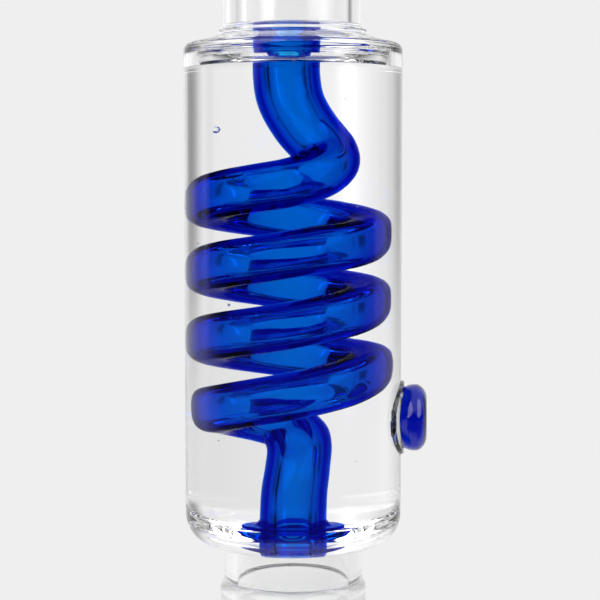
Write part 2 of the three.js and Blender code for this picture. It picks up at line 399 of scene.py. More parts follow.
@dataclass(frozen=True)
class Ripple:
    """The slow unevenness that hand work at the flame leaves on glass.

    Args:
        size: Distance between swells in millimetres.
        depth: Height of a swell in millimetres.
        stretch: How much longer a swell is round the piece than up it.
    """

    size: float
    depth: float
    stretch: float = 1.0

    def normal(self, tree: Tree) -> bpy.types.NodeSocket:
        """Adds the nodes that tilt the surface.

        Args:
            tree: The material's tree.

        Returns:
            The tilted normal.
        """
        place = tree.add("ShaderNodeTexCoord").outputs["Object"]
        round_it = 1 / self.stretch
        drawn = tree.add("ShaderNodeMapping", vector=place, scale=(round_it, round_it, 1)).outputs[0]
        per_metre = 1 / (self.size * MM)
        swell = tree.add("ShaderNodeTexNoise", vector=drawn, scale=per_metre, detail=1.5, roughness=0.4)
        bump = tree.add("ShaderNodeBump", height=swell.outputs[0], strength=1.0, distance=self.depth * MM)
        return bump.outputs[0]


@dataclass(frozen=True)
class ClearGlass:
    """Borosilicate tube, fire polished, against what it touches.

    Args:
        name: The finish's name.
        ior: How much the surface bends light, against what touches it.
        roughness: How matt the surface is.
        colour: The colour of the light it lets through.
        ripple: The surface's unevenness, if it has any.
    """

    name: str
    ior: float
    roughness: float = 0.0
    colour: str = "#FFFFFF"
    ripple: Ripple | None = None

    def material(self) -> bpy.types.Material:
        """Returns the finish's material."""
        return material_of(self.name, self._shade)

    def _shade(self, tree: Tree) -> None:
        """Fills the material's tree.

        Args:
            tree: The tree.
        """
        body = tree.add(
            "ShaderNodeBsdfPrincipled",
            base_color=to_linear(self.colour),
            transmission_weight=1.0,
            ior=self.ior,
            roughness=self.roughness,
        )
        if self.ripple is not None:
            tree.links.new(self.ripple.normal(tree), body.inputs["Normal"])
        tree.add("ShaderNodeOutputMaterial", surface=body.outputs[0])


@dataclass(frozen=True)
class Contact:
    """A surface fused or wetted so well that light goes straight through it.

    Args:
        name: The finish's name.
    """

    name: str

    def material(self) -> bpy.types.Material:
        """Returns the finish's material."""
        return material_of(self.name, self._shade)

    @staticmethod
    def _shade(tree: Tree) -> None:
        """Fills the material's tree.

        Args:
            tree: The tree.
        """
        through = tree.add("ShaderNodeBsdfTransparent")
        tree.add("ShaderNodeOutputMaterial", surface=through.outputs[0])


@dataclass(frozen=True)
class CobaltGlass:
    """Cobalt-blue borosilicate, which is azure where thin and navy where thick.

    The blue is in the glass and not on it, so light loses more of its green
    and red the farther it goes through the wall. Faces marked meets_air bend
    light as glass does in air; the others lie in liquid or are fused to clear
    glass, and hardly bend it.

    Args:
        name: The finish's name.
        tint: What is left of the light after one absorption length.
        per_metre: Absorption lengths in a metre of glass.
        ripple: The surface's unevenness.
    """

    name: str = "cobalt_glass_flame_worked"
    tint: str = "#00E2FA"
    per_metre: float = 3500.0
    ripple: Ripple = Ripple(size=5.0, depth=0.05)

    def material(self) -> bpy.types.Material:
        """Returns the finish's material."""
        return material_of(self.name, self._shade)

    def _shade(self, tree: Tree) -> None:
        """Fills the material's tree.

        Args:
            tree: The tree.
        """
        normal = self.ripple.normal(tree)
        wet, dry = (
            tree.add(
                "ShaderNodeBsdfPrincipled",
                base_color=(1, 1, 1, 1),
                transmission_weight=1.0,
                ior=ior,
                roughness=0.0,
                normal=normal,
            ).outputs[0]
            for ior in (N_COBALT / N_COOLANT, N_COBALT)
        )
        mark = tree.add("ShaderNodeAttribute", {"attribute_name": "meets_air"})
        either = tree.add("ShaderNodeMixShader", in_0=mark.outputs["Fac"], in_1=wet, in_2=dry)
        depth = tree.add("ShaderNodeVolumeAbsorption", color=to_linear(self.tint), density=self.per_metre)
        tree.add("ShaderNodeOutputMaterial", surface=either.outputs[0], volume=depth.outputs[0])


class Finish(Enum):
    """The surfaces that the clear pieces and the liquid show."""

    POLISHED = ClearGlass("clear_glass_polished", N_CLEAR, ripple=Ripple(9.0, 0.012, 0.4))
    WORKED = ClearGlass("clear_glass_flame_worked", N_CLEAR, ripple=Ripple(7.0, 0.06, 3.0))
    GATHERED = ClearGlass("clear_glass_gathered_shoulder", N_CLEAR, ripple=Ripple(6.0, 0.22, 2.2))
    PLUG = ClearGlass("clear_glass_plug", 1.12, roughness=0.05, colour="#E4E6EC")
    WETTED = ClearGlass("clear_glass_under_coolant", N_CLEAR / N_COOLANT)
    FUSED = Contact("clear_glass_fused_seam")
    GROUND = ClearGlass("clear_glass_ground_taper", N_CLEAR, roughness=0.32, colour="#FAFBFB")
    LEVEL = ClearGlass("coolant_level", N_COOLANT, ripple=Ripple(14.0, 0.01))
    COOLANT_EDGE = Contact("coolant_against_glass")


def dress(piece: bpy.types.Object, rule: Callable[[Vector, Vector], Finish]) -> None:
    """Gives each face of a piece the finish that a rule picks.

    Args:
        piece: The mesh object.
        rule: Takes a face's middle and normal and returns its finish.
    """
    piece.data.materials.clear()
    slots: dict[Finish, int] = {}
    for face in piece.data.polygons:
        chosen = rule(face.center, face.normal)
        if chosen not in slots:
            slots[chosen] = len(slots)
            piece.data.materials.append(chosen.value.material())
        face.material_index = slots[chosen]


def dress_cobalt(
    piece: bpy.types.Object, in_air: Callable[[Vector, Vector], bool], glass: CobaltGlass = CobaltGlass()
) -> None:
    """Gives a piece the cobalt finish and marks the faces that meet air.

    Args:
        piece: The mesh object.
        in_air: Takes a face's middle and normal and says whether air touches it.
        glass: The cobalt glass.
    """
    piece.data.materials.clear()
    piece.data.materials.append(glass.material())
    mark = piece.data.attributes.new("meets_air", "FLOAT", "FACE")
    mark.data.foreach_set("value", [float(in_air(f.center, f.normal)) for f in piece.data.polygons])


def hand_over(piece: bpy.types.Object, node: str, crease: float = 32.0) -> None:
    """Shades a piece, joins it to the frame in place of its CAD node and reports it.

    Args:
        piece: The finished piece.
        node: The CAD node it stands for.
        crease: The angle in degrees past which an edge stays sharp.
    """
    pick(piece)
    bpy.ops.object.shade_smooth_by_angle(angle=math.radians(crease))
    deselect()
    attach(piece, BODY)
    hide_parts(node)
    log.info("%s stands for %s: %d faces", piece.name, node, len(piece.data.polygons))


def radius_at(place: Vector) -> float:
    """Returns a point's distance from the glass axis."""
    return math.hypot(place.x - AXIS_X, place.y)


# --------------------------------------------------------------- filling port


@dataclass
class FillingPort:
    """The blue button that seals the filling hole, on its clear weld."""

    swing: float = -4.0  # degrees from +X towards the front
    hole_r: float = 1.52 * MM
    boss_r: float = 10.4 * MM
    boss_sink: float = 0.4 * MM  # how far the weld has melted into the jacket
    weld_rise: float = 0.75 * MM  # how far the weld stands off the jacket
    boss_edge: float = 22.9 * MM  # the depth at which the weld's slope starts
    drop: float = 0.9 * MM  # how far the hand-set button sits below its drawn height
    button_ease: float = 2.4 * MM
    waist_ease: float = 1.2 * MM
    draw_in: float = 0.7 * MM  # how much narrower the button is at its front
    saddle_r: float = 25.03 * MM  # the button's back is hollowed to fit the jacket
    throat: tuple[float, float] = (1.6 * MM, 1.1 * MM)  # how much narrower the button is at its back
    skirt: tuple[float, float] = (23.4 * MM, 25.2 * MM)  # the depths of those two places
    weld_top: float = 26.5 * MM  # where the weld has crept up the button's side
    weld_lap: float = 0.15 * MM  # how far its edge stands off the button
    weld_lip: float = 0.1 * MM  # how high that edge is
    weld_hollow: float = 0.8  # how hollow its slope is, where 1 is straight
    pin_ease: float = 1.2 * MM
    pin_sink: float = 0.05 * MM  # how far its end stays inside the bore of the jacket
    seat_reach: float = 0.2 * MM
    hair: float = 0.02 * MM  # a gap or a tolerance too small to see
    button_glass: CobaltGlass = CobaltGlass(
        "cobalt_glass_pressed_button", per_metre=1500.0, ripple=Ripple(size=6.0, depth=0.1)
    )
    jacket_r: float = 25.0 * MM
    jacket_wall: float = 3.0 * MM
    parts: dict[str, bpy.types.Object] = field(default_factory=dict)

    def __post_init__(self) -> None:
        """Takes the port's place from the frame."""
        low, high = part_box("port_button")
        self.height = (low[2] + high[2]) / 2 - self.drop
        self.button_r = (high[2] - low[2]) / 2
        turn = math.radians(self.swing)
        self.along = Vector((math.cos(turn), math.sin(turn), 0))
        flat_r = self.button_r - self.button_ease
        reach = high[0] - AXIS_X - self.button_ease - flat_r * abs(math.sin(turn))
        self.front = reach / math.cos(turn) + self.button_ease
        self.origin = Vector((AXIS_X, 0, self.height))

    def off_axis(self, place: Vector) -> float:
        """Returns a point's distance from the port's own axis."""
        from_origin = place - self.origin
        return (from_origin - self.along * from_origin.dot(self.along)).length

    def depth(self, place: Vector) -> float:
        """Returns how far along the port's axis a point lies from the glass axis."""
        return (place - self.origin).dot(self.along)

    def covers(self, place: Vector) -> bool:
        """Says whether a point of the jacket is under the weld or the button."""
        return self.depth(place) > 0 and self.off_axis(place) < self.boss_r + self.hair / 2

    def build(self) -> None:
        """Makes the weld, the pin and the button."""
        self.parts["boss"] = self._boss()
        self.parts["pin"] = self._pin()
        self.parts["button"] = self._button()

    def _boss(self) -> bpy.types.Object:
        """Returns the weld, whose back fits the jacket and whose front holds the button."""
        foot = self.jacket_r - self.jacket_wall
        back, waist = (self.button_r - step + self.hair for step in self.throat)
        corners = [
            Corner(back, foot),
            Corner(self.boss_r, foot),
            *self._slope(),
            Corner(self.button_r + self.hair, self.weld_top),
            Corner(waist, self.skirt[1]),
            Corner(back, self.skirt[0]),
        ]
        boss = turned("port_boss_weld", corners, steps=96, axis=Vector())
        lay_over(boss, self.swing, self.origin)
        carve(boss, self._core(self.jacket_r + self.weld_rise), "INTERSECT")
        carve(boss, self._core(self.jacket_r - self.boss_sink))
        return boss

    def _slope(self, steps: int = 12) -> Iterator[Corner]:
        """Gives the weld's hollow slope, from the jacket up to the button's side.

        Args:
            steps: How many steps it has.

        Yields:
            Its points.
        """
        rise = self.weld_top - self.weld_lip - self.boss_edge
        run = self.button_r + self.weld_lap - self.boss_r
        for step in range(steps + 1):
            share = step / steps
            yield Corner(self.boss_r + run * share ** self.weld_hollow, self.boss_edge + rise * share)

    def _core(self, r: float) -> bpy.types.Object:
        """Returns a round bar on the glass axis, to cut a back that fits the jacket.

        Args:
            r: Its radius.

        Returns:
            The bar.
        """
        return bar("core", r, self.height - 3 * self.boss_r, self.height + 3 * self.boss_r, 384)

    def _pin(self) -> bpy.types.Object:
        """Returns the glass pin that fills the hole."""
        r = self.hole_r - self.hair
        back = self.jacket_r - self.jacket_wall + self.pin_sink
        front = self.jacket_r
        corners = [Corner(0, back), Corner(r, back, self.pin_ease), Corner(r, front), Corner(0, front)]
        pin = turned("port_pin_glass", corners, steps=48, axis=Vector())
        lay_over(pin, self.swing, self.origin)
        return pin

    def _button(self) -> bpy.types.Object:
        """Returns the button, a pressed drop of blue glass."""
        back, waist = (self.button_r - step for step in self.throat)
        corners = [
            Corner(0, self.skirt[0]),
            Corner(back, self.skirt[0]),
            Corner(waist, self.skirt[1]),
            Corner(self.button_r, self.weld_top, self.waist_ease),
            Corner(self.button_r, (self.weld_top + self.front) / 2),
            Corner(self.button_r - self.draw_in, self.front, self.button_ease),
            Corner(0, self.front),
        ]
        button = turned("port_button_glass", corners, steps=96, axis=Vector())
        lay_over(button, self.swing, self.origin)
        carve(button, self._core(self.saddle_r))
        return button

    def dress(self) -> None:
        """Gives the pieces their glass and joins them to the frame."""
        edge = self.jacket_r + self.hair / 20
        boss, pin, button = (self.parts[k] for k in ("boss", "pin", "button"))

        def boss_rule(place: Vector, normal: Vector) -> Finish:
            """Picks the weld's finish: its back and the seat of the button are fused."""
            buried = radius_at(place) < edge
            outwards = place - self.origin - self.along * self.depth(place)
            seated = outwards.length < self.button_r + self.seat_reach and normal.dot(outwards) < 0
            return Finish.FUSED if buried or seated else Finish.POLISHED

        dress(boss, boss_rule)
        dress(pin, lambda place, normal: Finish.PLUG)
        weld = self.jacket_r + self.weld_rise
        dress_cobalt(button, lambda place, normal: radius_at(place) > weld, self.button_glass)
        hand_over(boss, "port_boss")
        hand_over(pin, "port_pin")
        hand_over(button, "port_button")


# ------------------------------------------------------------ jacket and walls


@dataclass
class Chamber:
    """The jacket and the two end walls that close it."""

    jacket_r: float = 25.0 * MM
    bore_r: float = 22.0 * MM
    floor_rise: float = 4.4 * MM
    air_film: float = 0.9 * MM  # what air is left between the liquid and the crown
    crown_ease: float = 2.2 * MM
    shoulder_r: float = 17.0 * MM
    shoulder_drop: float = 0.8 * MM
    shoulder_ease: float = 0.5 * MM
    edge_rise: float = 1.5 * MM  # how far above the jacket the shoulder's edge is
    edge_ease: float = 1.2 * MM
    corner_share: float = 0.98  # how much of the floor's corner is round
    seam: float = 0.02 * MM  # the gap between the crown and the jacket's bore
    lower_neck: tuple[float, float] = (13.0 * MM, 16.0 * MM)
    upper_neck: tuple[float, float] = (12.7 * MM, 17.0 * MM)
    lead_r: float = 5.27 * MM
    flange_r: float = 8.1 * MM
    upper_lead_x: float = -1.0 * MM
    reach: float = 2.0 * MM  # how far a drill goes past what it cuts
    touch: float = 0.01 * MM

    def __post_init__(self) -> None:
        """Takes the heights from the frame."""
        self.under = floor_of("lower_end_wall")
        self.low = floor_of("jacket_tube")
        self.high = top_of("jacket_tube")
        self.crown = top_of("upper_end_wall")
        self.level = top_of("coolant")
        self.floor = self.under + self.floor_rise
        self.ceiling = self.level + self.air_film
        self.corner = self.low - self.under
        self.lead_axis = Vector((AXIS_X + self.upper_lead_x, 0, 0))

    def build(self, port: FillingPort) -> None:
        """Makes the three pieces and joins them to the frame.

        Args:
            port: The filling port, whose weld is let into the jacket.
        """
        self._jacket(port)
        self._lower_wall()
        self._upper_wall()

    def _jacket(self, port: FillingPort) -> None:
        """Makes the outer tube with its filling hole.

        Args:
            port: The filling port.
        """
        corners = [
            Corner(self.bore_r, self.low),
            Corner(self.jacket_r, self.low),
            Corner(self.jacket_r, self.high),
            Corner(self.bore_r, self.high),
        ]
        jacket = turned("jacket_tube_glass", corners, steps=256)
        carve(jacket, port.parts["boss"], keep=True)
        hole = bar("drill", port.hole_r, self.bore_r - self.reach, self.jacket_r + self.reach, 48, Vector())
        lay_over(hole, port.swing, port.origin)
        carve(jacket, hole)
        mark_heights(jacket, (self.level, self.ceiling + self.crown_ease))

        def rule(place: Vector, normal: Vector) -> Finish:
            """Picks the finish by which side of the wall a face is on."""
            r = radius_at(place)
            if abs(normal.z) > 0.9:
                return Finish.FUSED
            if port.covers(place):
                return Finish.WETTED if r < self.bore_r + self.touch else Finish.FUSED
            if r < self.bore_r + 0.05 * MM:
                if place.z > self.ceiling + self.crown_ease:
                    return Finish.FUSED
                return Finish.WETTED if place.z < self.level else Finish.POLISHED
            return Finish.POLISHED

        dress(jacket, rule)
        hand_over(jacket, "jacket_tube")

    def _lower_wall(self) -> None:
        """Makes the thick disc under the chamber."""
        corners = [
            Corner(self.lead_r, self.under),
            Corner(self.lower_neck[0], self.under),
            Corner(self.lower_neck[1], self.under),
            Corner(self.jacket_r, self.under, self.corner * self.corner_share),
            Corner(self.jacket_r, self.low),
            Corner(self.bore_r, self.low),
            Corner(self.bore_r, self.floor, (self.low - self.floor) * self.corner_share),
            Corner(self.flange_r, self.floor),
            Corner(self.lead_r, self.floor),
        ]
        wall = turned("lower_end_wall_glass", corners, steps=256)

        def rule(place: Vector, normal: Vector) -> Finish:
            """Picks the finish by what touches a face."""
            r = radius_at(place)
            if r < self.lead_r + self.touch or place.z > self.low - self.touch:
                return Finish.FUSED
            if place.z < self.under + self.touch:
                joined = self.lower_neck[0] < r < self.lower_neck[1]
                return Finish.FUSED if joined else Finish.POLISHED
            inside = place.z > self.floor - self.touch and r < self.bore_r + self.touch
            if inside:
                return Finish.FUSED if r < self.flange_r else Finish.WETTED
            return Finish.POLISHED

        dress(wall, rule)
        hand_over(wall, "lower_end_wall")

    def _upper_wall(self) -> None:
        """Makes the shoulder that closes the top and carries the neck."""
        slope_z = self.crown - self.shoulder_drop
        edge_z = self.high + self.edge_rise
        plug_r = self.bore_r - self.seam
        corners = [
            Corner(0, self.ceiling),
            Corner(plug_r, self.ceiling, self.crown_ease),
            Corner(plug_r, self.high),
            Corner(self.jacket_r, self.high),
            Corner(self.jacket_r, edge_z, self.edge_ease),
            Corner(self.shoulder_r, slope_z, self.shoulder_ease),
            Corner(self.shoulder_r, self.crown),
            Corner(self.upper_neck[0], self.crown),
            Corner(0, self.crown),
        ]
        wall = turned("upper_end_wall_glass", corners, steps=256)
        low, high = self.ceiling - self.reach, self.crown + self.reach
        drill = bar("drill", self.lead_r, low, high, axis=self.lead_axis)
        carve(wall, drill)

        def rule(place: Vector, normal: Vector) -> Finish:
            """Picks the finish by what touches a face."""
            from_lead = math.hypot(place.x - self.lead_axis.x, place.y)
            from_axis = radius_at(place)
            if from_lead < self.lead_r + self.touch:
                return Finish.FUSED
            if place.z > self.crown - self.touch and self.upper_neck[0] < from_axis < self.upper_neck[1]:
                return Finish.FUSED
            in_bore = self.ceiling + self.crown_ease < place.z < self.high + self.touch
            against_jacket = in_bore and from_axis > self.bore_r - self.crown_ease
            return Finish.FUSED if against_jacket else Finish.GATHERED

        dress(wall, rule)
        hand_over(wall, "upper_end_wall")


# ------------------------------------------------------------ necks and socket


@dataclass
class Necks:
    """The two necks and the ground socket."""

    neck_r: float = 16.0 * MM
    upper_bore_r: float = 12.7 * MM
    lower_bore_r: float = 13.0 * MM
    foot_r: float = 17.0 * MM
    foot_edge: float = 0.5 * MM  # how thick the flare is at its rim
    foot_h: float = 0.9 * MM  # and where it meets the neck
    foot_eases: tuple[float, float] = (0.3 * MM, 0.6 * MM)
    lip: float = 1.5 * MM
    socket_r: float = 17.0 * MM
    collar_ease: float = 2.4 * MM
    taper_mouth_r: float = 14.6 * MM
    taper_end_r: float = 13.0 * MM
    taper_length: float = 32.0 * MM
    rim_r: float = 18.0 * MM
    rim_h: float = 4.0 * MM
    rim_slope: float = 1.0 * MM  # how far below its top the rim starts to draw in
    rim_eases: tuple[float, float, float] = (1.0 * MM, 0.8 * MM, 0.5 * MM)
    touch: float = 0.01 * MM

    def build(self) -> None:
        """Makes the three pieces and joins them to the frame."""
        self._upper()
        self._lower()
        self._socket()

    def _upper(self) -> None:
        """Makes the upper neck, flared at its foot and fire polished at its mouth."""
        foot, mouth = floor_of("upper_neck"), top_of("upper_neck")
        corners = [
            Corner(self.upper_bore_r, foot),
            Corner(self.foot_r, foot),
            Corner(self.foot_r, foot + self.foot_edge, self.foot_eases[0]),
            Corner(self.neck_r, foot + self.foot_h, self.foot_eases[1]),
            Corner(self.neck_r, mouth, self.lip),
            Corner(self.upper_bore_r, mouth, self.lip),
        ]
        neck = turned("upper_neck_glass", corners, steps=224)
        dress(neck, lambda place, normal: Finish.FUSED if place.z < foot + self.touch else Finish.POLISHED)
        hand_over(neck, "upper_neck")

    def _lower(self) -> None:
        """Makes the short neck between the chamber and the socket."""
        foot, top = floor_of("lower_neck"), top_of("lower_neck")
        corners = [
            Corner(self.lower_bore_r, foot),
            Corner(self.neck_r, foot),
            Corner(self.neck_r, top),
            Corner(self.lower_bore_r, top),
        ]
        neck = turned("lower_neck_glass", corners, steps=224)
        dress(neck, lambda place, normal: Finish.FUSED if abs(normal.z) > 0.9 else Finish.POLISHED)
        hand_over(neck, "lower_neck")

    def _socket(self) -> None:
        """Makes the socket, polished outside and ground to its taper inside."""
        foot, top = floor_of("ground_socket"), top_of("ground_socket")
        corners = [
            Corner(self.taper_mouth_r, foot),
            Corner(self.rim_r, foot, self.rim_eases[0]),
            Corner(self.rim_r, foot + self.rim_h - self.rim_slope, self.rim_eases[1]),
            Corner(self.socket_r, foot + self.rim_h, self.rim_eases[2]),
            Corner(self.socket_r, top, self.collar_ease),
            Corner(self.taper_end_r, top),
            Corner(self.taper_end_r, foot + self.taper_length),
        ]
        socket = turned("ground_socket_glass", corners, steps=224)

        def rule(place: Vector, normal: Vector) -> Finish:
            """Picks the ground finish on the taper and fused glass under the neck."""
            r = radius_at(place)
            if place.z > top - self.touch and r < self.neck_r:
                return Finish.FUSED
            on_taper = r < self.taper_mouth_r + self.touch and place.z < foot + self.taper_length
            return Finish.GROUND if on_taper else Finish.WORKED

        dress(socket, rule)
        hand_over(socket, "ground_socket")


# ------------------------------------------------------------------- coil tube


@dataclass
class Coil:
    """The blue tube: an upper lead, four right-handed turns and a lower lead."""

    tube_r: float = 5.25 * MM
    wall: float = 1.2 * MM
    wound_half_width: float = 4.4 * MM  # winding leaves the tube narrower across the turns
    wound_squareness: float = 2.8  # and blunt, where 2 is round
    winding_r: float = 11.7 * MM
    pitch: float = 15.8 * MM
    winding_x: float = -0.85 * MM
    # No turn wound by hand is quite even: at an angle, how far the tube stands
    # above and outside an even winding.
    unevenness: tuple[tuple[int, float, float], ...] = (
        (-90, 0, 0), (-180, 0.5, 0.3), (-270, 0, 0), (-360, -1.0, 0.3), (-450, 0, 0), (-540, 0.45, 0.3),
        (-630, 0, 0), (-720, -0.4, 0.15), (-810, 0, 0), (-900, 0.3, 0.1), (-990, 0, 0.2), (-1080, 0, 0.55),
        (-1170, 0, 0.2), (-1260, -0.5, 0.2),
    )
    start_z: float = 131.7 * MM
    first_angle: int = -90
    last_angle: int = -1260
    angle_step: int = 30
    steps: int = 460
    side_resolution: int = 22
    wander: float = 0.006  # how unevenly the tube has drawn out at the flame
    lumps: tuple[tuple[float, float, float], ...] = ((0.09, 0.05, 0.06), (0.93, 0.025, -0.08))
    cut: float = 0.005 * MM  # a tolerance at its two ends
    flattens: tuple[float, float] = (9.2 * MM, 11.6 * MM)  # it goes flat between these radii
    flange_r: tuple[float, float] = (8.1 * MM, 6.9 * MM)
    flange_h: float = 2.0 * MM  # where it leaves the tube
    flange_edge: float = 0.7 * MM  # how thick it is at its rim
    flange_root: tuple[float, float] = (0.6 * MM, 0.9 * MM)  # its fillet, out from the tube and up
    flange_eases: tuple[float, float] = (0.3 * MM, 0.4 * MM)
    flange_gap: float = 0.015 * MM
    hug: float = 0.02 * MM  # the gap between it and the tube
    flange_lift: float = 1.6 * MM  # how far into the crown the upper one is seated
    upper_lead: tuple[tuple[float, float, float], ...] = (
        (-1, 0, 162), (-1, 0, 156.5), (-1, 0, 151.5), (-0.3, -0.2, 146), (2.1, -0.9, 140),
        (5.2, -2.8, 135), (6.1, -6.2, 131.8), (3.7, -9.6, 129.3),
    )
    lower_lead: tuple[tuple[float, float, float], ...] = (
        (-9.6, 5.6, 75.0), (-6.7, 8, 74), (-3.1, 8.2, 72.7), (-0.2, 6.2, 70.9), (0.9, 2.9, 67.6),
        (0.7, 0.7, 62.9), (0.2, 0, 57.4), (0, 0, 51), (0, 0, 44.5),
    )

    def _route(self) -> list[Vector]:
        """Returns the points that the tube's middle passes through."""
        here = Vector((AXIS_X, 0, 0))
        points = [here + Vector(p) * MM for p in self.upper_lead]
        for angle in range(self.first_angle, self.last_angle - 1, -self.angle_step):
            turn = math.radians(angle)
            rise, reach = self._stray(angle)
            across = Vector((math.cos(turn), math.sin(turn), 0)) * (self.winding_r + reach * MM)
            height = self.start_z + self.pitch * angle / 360 + rise * MM
            points.append(here + Vector((self.winding_x, 0, height)) + across)
        points += [here + Vector(p) * MM for p in self.lower_lead]
        return points

    def _stray(self, angle: float) -> tuple[float, float]:
        """Returns the tube's rise and reach beyond an even winding, in millimetres."""
        for (near, *low), (far, *high) in zip(self.unevenness, self.unevenness[1:]):
            if near >= angle >= far:
                share = (1 - math.cos(math.pi * (near - angle) / (near - far))) / 2
                rise, reach = (a + (b - a) * share for a, b in zip(low, high))
                return rise, reach
        return 0.0, 0.0

    def _line(self) -> list[Vector]:
        """Returns evenly spaced points on a smooth curve through the route."""
        fine = list(smooth_through(self._route(), 40))
        lengths = [0.0]
        for a, b in zip(fine, fine[1:]):
            lengths.append(lengths[-1] + (b - a).length)
        line, index = [], 0
        for step in range(self.steps + 1):
            target = lengths[-1] * step / self.steps
            while index < len(fine) - 2 and lengths[index + 1] < target:
                index += 1
            share = (target - lengths[index]) / (lengths[index + 1] - lengths[index])
            line.append(fine[index].lerp(fine[index + 1], share))
        return line

    def build(self, chamber: Chamber) -> None:
        """Makes the tube and its two flanges and joins them to the frame.

        Args:
            chamber: The chamber, which says where the tube meets air.
        """
        tube = self._tube()
        mark_heights(tube, (chamber.level, chamber.ceiling))
        bore_faces = {f.index for f in tube.data.polygons if f.material_index > 0}
        flags = []
        faces = tube.data.polygons
        for face in faces:
            pocket = chamber.level < face.center.z < chamber.ceiling
            inside_walls = chamber.under + self.cut < face.center.z < chamber.crown - self.cut
            flags.append(face.index in bore_faces or pocket or not inside_walls)
        dress_cobalt(tube, lambda place, normal: False)
        tube.data.attributes["meets_air"].data.foreach_set("value", [float(f) for f in flags])
        for face in faces:
            face.material_index = 0
        hand_over(tube, "coil_tube", crease=40)
        self._flange("lower_flange", Vector((AXIS_X, 0, 0)), chamber.floor, 1, self.flange_r[0])
        seat = chamber.ceiling + self.flange_lift
        self._flange("upper_flange", chamber.lead_axis, seat, -1, self.flange_r[1])

    def _tube(self) -> bpy.types.Object:
        """Returns the hollow tube, its bore on the second material slot."""
        line = self._line()
        deselect()
        bpy.ops.curve.primitive_bezier_curve_add()
        curve = bpy.context.object
        curve.name = "coil_tube_glass"
        curve.data.splines.clear()
        spline = curve.data.splines.new("POLY")
        spline.points.add(len(line) - 1)
        for index, (point, place) in enumerate(zip(spline.points, line)):
            point.co = (*place, 1)
            point.radius = self._swell(index / self.steps)
        curve.data.dimensions = "3D"
        curve.data.bevel_depth = self.tube_r
        curve.data.bevel_resolution = self.side_resolution
        curve.data.use_fill_caps = False
        pick(curve)
        bpy.ops.object.convert(target="MESH")
        tube = bpy.context.object
        self._flatten(tube, line)
        bpy.ops.object.mode_set(mode="EDIT")
        bpy.ops.mesh.select_all(action="SELECT")
        bpy.ops.mesh.remove_doubles(threshold=0.001 * MM)
        bpy.ops.mesh.normals_make_consistent(inside=False)
        bpy.ops.object.mode_set(mode="OBJECT")
        tube.data.materials.clear()
        tube.data.materials.append(None)
        tube.data.materials.append(None)
        wall = tube.modifiers.new("wall", "SOLIDIFY")
        wall.thickness = self.wall
        wall.offset = -1
        wall.use_rim = True
        wall.material_offset = 1
        bpy.ops.object.modifier_apply(modifier=wall.name)
        return tube

    def _flatten(self, tube: bpy.types.Object, line: list[Vector]) -> None:
        """Gives the round tube the blunt, narrow section it has where it is wound.

        Args:
            tube: The tube, whose vertices follow the line ring by ring.
            line: The middle of each ring.
        """
        around = len(tube.data.vertices) // len(line)
        for index, middle in enumerate(line):
            behind, beyond = line[max(index - 1, 0)], line[min(index + 1, len(line) - 1)]
            ahead = (beyond - behind).normalized()
            out = Vector((middle.x - AXIS_X - self.winding_x, middle.y, 0))
            share = min(1, max(0, (out.length - self.flattens[0]) / (self.flattens[1] - self.flattens[0])))
            share = share * share * (3 - 2 * share)
            if share <= 0:
                continue
            out = (out - ahead * out.dot(ahead)).normalized()
            along = ahead.cross(out)
            width = self.tube_r + (self.wound_half_width - self.tube_r) * share
            power = 2 + (self.wound_squareness - 2) * share
            for vertex in tube.data.vertices[index * around:(index + 1) * around]:
                arm = vertex.co - middle
                across, up = arm.dot(out), arm.dot(along)
                length = math.hypot(across, up)
                reach = abs(across / length / width) ** power + abs(up / length / self.tube_r) ** power
                vertex.co = middle + arm * (reach ** (-1 / power) / self.tube_r)

    def _swell(self, share: float) -> float:
        """Returns the tube's width at a share of its length, against its plain width."""
        ends = min(1.0, share * 12, (1 - share) * 12)
        wander = self.wander * ends * (math.sin(share * 41) + 0.6 * math.sin(share * 97 + 1))
        lumps = sum(size * math.exp(-(((share - at) / spread) ** 2)) for at, spread, size in self.lumps)
        return 1 + wander + lumps * ends

    def _flange(self, node: str, axis: Vector, seat: float, way: int, rim_r: float) -> None:
        """Makes a flange that runs from the tube out along an end wall.

        Args:
            node: The CAD node it stands for.
            axis: A point on its upright axis.
            seat: The height of the wall that it sits on.
            way: 1 if it stands on the wall, -1 if it hangs from it.
            rim_r: Its radius.
        """
        inner = self.tube_r + self.hug
        out, up = self.flange_root
        corners = [
            Corner(inner, seat + way * self.flange_gap),
            Corner(rim_r, seat + way * self.flange_gap),
            Corner(rim_r, seat + way * self.flange_edge, self.flange_eases[0]),
            Corner(inner + out, seat + way * up, self.flange_eases[1]),
            Corner(inner, seat + way * self.flange_h),
        ]
        flange = turned(f"{node}_glass", corners, steps=128, axis=axis)
        dress_cobalt(flange, lambda place, normal: False)
        hand_over(flange, node)


def smooth_through(points: list[Vector], share: int) -> Iterator[Vector]:
    """Runs a centripetal Catmull-Rom curve through a list of points.

    Args:
        points: The points in order.
        share: How many steps there are between two of them.

    Yields:
        The curve's points.
    """
    before = points[0] * 2 - points[1]
    after = points[-1] * 2 - points[-2]
    held = [before, *points, after]
    for a, b, c, d in zip(held, held[1:], held[2:], held[3:]):
        ta, tb = 0.0, (b - a).length ** 0.5
        tc = tb + (c - b).length ** 0.5
        td = tc + (d - c).length ** 0.5
        for step in range(share):
            t = tb + (tc - tb) * step / share
            ab = a.lerp(b, (t - ta) / (tb - ta))
            bc = b.lerp(c, (t - tb) / (tc - tb))
            cd = c.lerp(d, (t - tc) / (td - tc))
            abc = ab.lerp(bc, (t - ta) / (tc - ta))
            bcd = bc.lerp(cd, (t - tb) / (td - tb))
            yield abc.lerp(bcd, (t - tb) / (tc - tb))
    yield points[-1]


# --------------------------------------------------------------------- coolant


